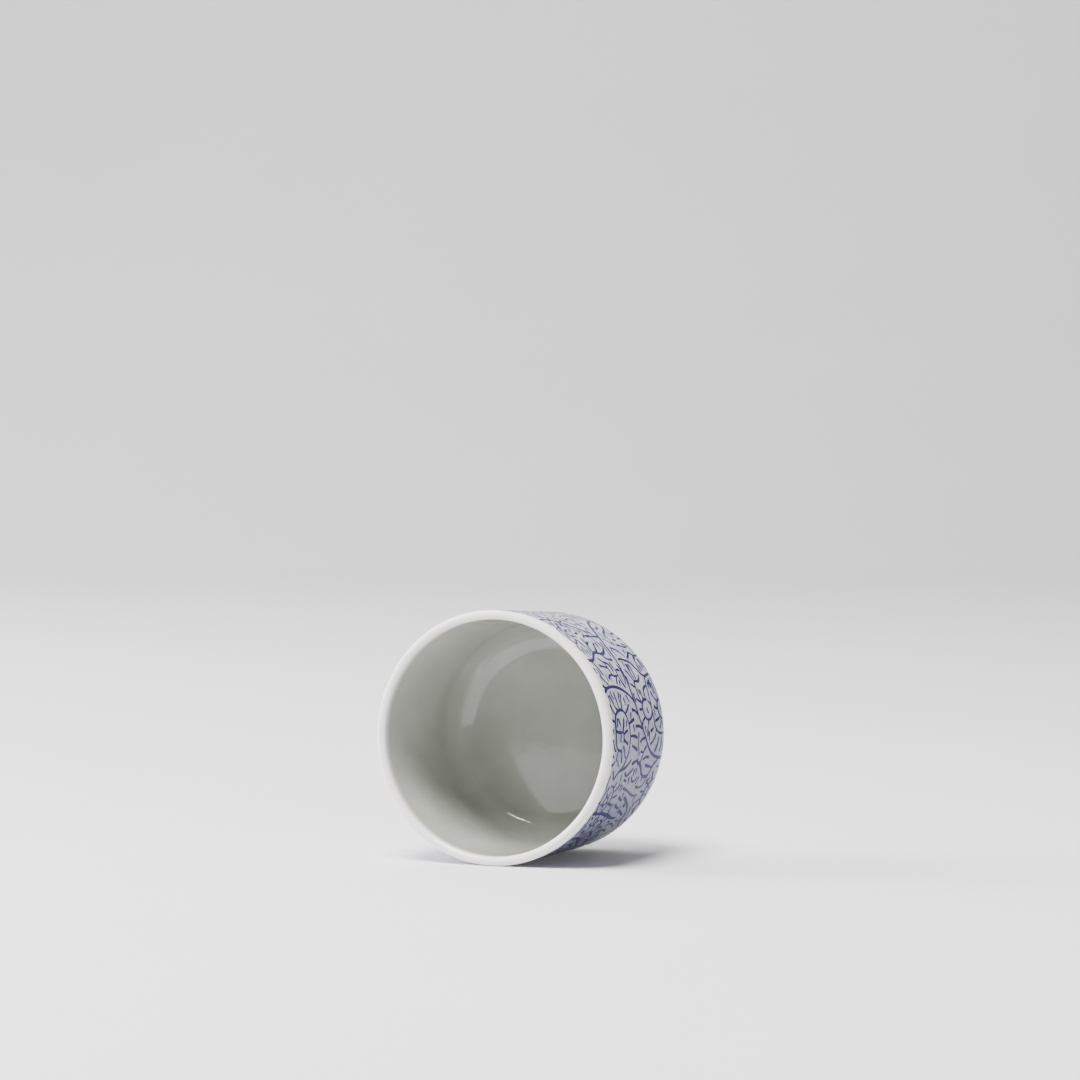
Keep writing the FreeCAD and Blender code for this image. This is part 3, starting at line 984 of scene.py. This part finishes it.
def paper_material():
    """Matt paper with a fine tooth, clear on its back."""
    material, where = new_material("pale_studio_paper")
    tone = between(material, grain(material, where, 90.0), 0.2, 0.8)
    base = blend_colours(material, tone, colour("#DEDCDE"), colour("#E1DFE1"))
    tooth = grain(material, where, 0.8)
    bump = add(material, "ShaderNodeBump", Strength=0.1, Distance=0.05 * MM, Height=tooth)
    paper = add(material, "ShaderNodeBsdfPrincipled", Base_Color=base, Roughness=0.85,
                Emission_Color=colour("#F4F4F2"), Emission_Strength=PAPER_GLOW,
                Normal=bump.outputs[0])
    clear = add(material, "ShaderNodeBsdfTransparent")
    behind = add(material, "ShaderNodeNewGeometry").outputs["Backfacing"]
    mix = add(material, "ShaderNodeMixShader")
    for socket, output in zip(mix.inputs, (behind, paper.outputs[0], clear.outputs[0])):
        material.node_tree.links.new(output, socket)
    return finish_material(material, mix)


def paper_sheet():
    """Extrudes the paper's side outline across the studio; its face looks at the cup."""
    bend_centre = (PAPER_FAR, PAPER_CURVE)
    bend = [(bend_centre[0] - PAPER_CURVE * math.sin(a), bend_centre[1] - PAPER_CURVE * math.cos(a))
            for a in [math.pi / 2 * i / PAPER_STEPS for i in range(PAPER_STEPS + 1)]]
    outline = [(PAPER_NEAR, 0.0)] + bend + [(bend[-1][0], PAPER_HEIGHT)]
    bm = bmesh.new()
    verts = [bm.verts.new(studio(-PAPER_HALF_WIDTH, up - PAPER_GAP, depth)) for depth, up in outline]
    edges = [bm.edges.new(pair) for pair in zip(verts, verts[1:])]
    made = bmesh.ops.extrude_edge_only(bm, edges=edges)
    new_verts = [g for g in made["geom"] if isinstance(g, bmesh.types.BMVert)]
    bmesh.ops.translate(bm, verts=new_verts, vec=right * 2 * PAPER_HALF_WIDTH)
    bm.normal_update()
    bm.faces.ensure_lookup_table()
    if bm.faces[0].normal.dot(table_up) < 0:
        bmesh.ops.reverse_faces(bm, faces=bm.faces)
    return object_from(bm, "studio_paper", paper_material())


paper = paper_sheet()

# %% [markdown]
# ## Soft studio light
# The key lamp hangs high, a little in front and to the left, so its light falls over the lip
# onto the lower wall inside. A back lamp and a low side lamp light the paper and draw the soft
# shadow to the right. The pale room is weak, so the inside and the underside stay deep. The
# near edge of the key lamp is mirrored in the cove, which gives the glaze its bright glint.

# %% Lights
CUP_MIDDLE = (0.0, 0.03, 0.0)
ROOM_LIGHT = 0.25


def area_light(name, place, size, power, tint):
    """A round lamp at a place of the studio, aimed at the cup; size in metres, power in watts."""
    data = bpy.data.lights.new(name, "AREA")
    data.shape = "DISK"
    data.size = size
    data.energy = power
    data.color = colour(tint)[:3]
    lamp = bpy.data.objects.new(name, data)
    bpy.context.scene.collection.objects.link(lamp)
    spot = studio(*place)
    back = (spot - studio(*CUP_MIDDLE)).normalized()
    lamp.matrix_world = Matrix.Translation(spot) @ facing(back, near).to_4x4()


area_light("key_lamp", (-0.35, 1.46, 0.51), 0.8, 76.0, "#FFFCF8")
area_light("back_lamp", (-0.7, 1.3, -1.2), 1.2, 22.0, "#F8F9FF")
area_light("side_lamp", (-1.5, 0.58, -0.5), 1.0, 60.0, "#FCFCFF")

world = bpy.data.worlds.new("pale_room")
world.use_nodes = True
background = world.node_tree.nodes["Background"]
background.inputs["Color"].default_value = colour("#EEEFF2")
background.inputs["Strength"].default_value = ROOM_LIGHT
bpy.context.scene.world = world
print("lights ready")
